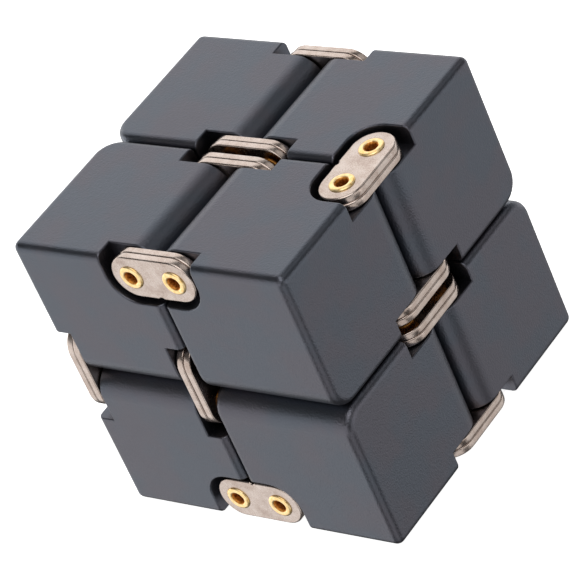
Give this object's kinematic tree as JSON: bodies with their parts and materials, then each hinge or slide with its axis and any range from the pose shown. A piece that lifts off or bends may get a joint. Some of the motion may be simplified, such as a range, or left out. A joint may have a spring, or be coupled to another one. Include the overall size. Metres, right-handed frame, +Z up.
{
  "type": "folding fidget cube",
  "caption": "Folding fidget cube: solid metal blocks hinged in a closed ring by steel link plates and hollow brass rivets, shown folded up; its front half swings open about the right-hand side.",
  "frame": {"origin": "middle of the underside of the folded cube", "axes": "+Z up, +Y towards the back half, +X towards the right-hand side, where the two halves are hinged together"},
  "size_m": [0.04, 0.04, 0.04],
  "materials": {
    "anodised_block": "bead-blasted, black anodised",
    "steel_plate": "stamped and tumbled, satin",
    "brass_rivet": "rolled, bright"
  },
  "bodies": {
    "back_half": {"block_upper_back_left": "anodised_block", "block_upper_back_right": "anodised_block", "block_lower_back_left": "anodised_block", "block_lower_back_right": "anodised_block", "top_back_first_rivet": "brass_rivet", "top_back_second_rivet": "brass_rivet", "top_back_middle_outer_plate": "steel_plate", "top_back_middle_inner_plate": "steel_plate", "top_back_back_outer_plate": "steel_plate", "top_back_back_inner_plate": "steel_plate", "back_left_first_rivet": "brass_rivet", "back_left_second_rivet": "brass_rivet", "back_left_middle_outer_plate": "steel_plate", "back_left_middle_inner_plate": "steel_plate", "back_left_left_outer_plate": "steel_plate", "back_left_left_inner_plate": "steel_plate", "bottom_back_first_rivet": "brass_rivet", "bottom_back_second_rivet": "brass_rivet", "bottom_back_middle_outer_plate": "steel_plate", "bottom_back_middle_inner_plate": "steel_plate", "bottom_back_back_outer_plate": "steel_plate", "bottom_back_back_inner_plate": "steel_plate"},
    "front_half": {"block_upper_front_left": "anodised_block", "block_upper_front_right": "anodised_block", "block_lower_front_left": "anodised_block", "block_lower_front_right": "anodised_block", "top_front_first_rivet": "brass_rivet", "top_front_second_rivet": "brass_rivet", "top_front_middle_outer_plate": "steel_plate", "top_front_middle_inner_plate": "steel_plate", "top_front_front_outer_plate": "steel_plate", "top_front_front_inner_plate": "steel_plate", "front_left_first_rivet": "brass_rivet", "front_left_second_rivet": "brass_rivet", "front_left_middle_outer_plate": "steel_plate", "front_left_middle_inner_plate": "steel_plate", "front_left_left_outer_plate": "steel_plate", "front_left_left_inner_plate": "steel_plate", "bottom_front_first_rivet": "brass_rivet", "bottom_front_second_rivet": "brass_rivet", "bottom_front_middle_outer_plate": "steel_plate", "bottom_front_middle_inner_plate": "steel_plate", "bottom_front_front_outer_plate": "steel_plate", "bottom_front_front_inner_plate": "steel_plate"},
    "upper_link": {"right_upper_first_rivet": "brass_rivet", "right_upper_second_rivet": "brass_rivet", "right_upper_middle_outer_plate": "steel_plate", "right_upper_middle_inner_plate": "steel_plate", "right_upper_top_outer_plate": "steel_plate", "right_upper_top_inner_plate": "steel_plate"},
    "lower_link": {"right_lower_first_rivet": "brass_rivet", "right_lower_second_rivet": "brass_rivet", "right_lower_middle_outer_plate": "steel_plate", "right_lower_middle_inner_plate": "steel_plate", "right_lower_bottom_outer_plate": "steel_plate", "right_lower_bottom_inner_plate": "steel_plate"}
  },
  "joints": [
    {"name": "upper_link_swing", "type": "hinge", "parent": "back_half", "child": "upper_link", "pos_m": [0.017, 0.00315, 0.03008], "axis": [0, 0, 1], "range_deg": [0, 90]},
    {"name": "front_half_swing", "type": "hinge", "parent": "upper_link", "child": "front_half", "pos_m": [0.017, -0.00315, 0.03008], "axis": [0, 0, 1], "range_deg": [0, 90]},
    {"name": "lower_link_swing", "type": "hinge", "parent": "back_half", "child": "lower_link", "pos_m": [0.017, 0.00315, 0.00992], "axis": [0, 0, 1], "range_deg": [0, 90]}
  ],
  "couplings": [
    {"joint": "lower_link_swing", "follows": "upper_link_swing", "ratio": 1}
  ]
}
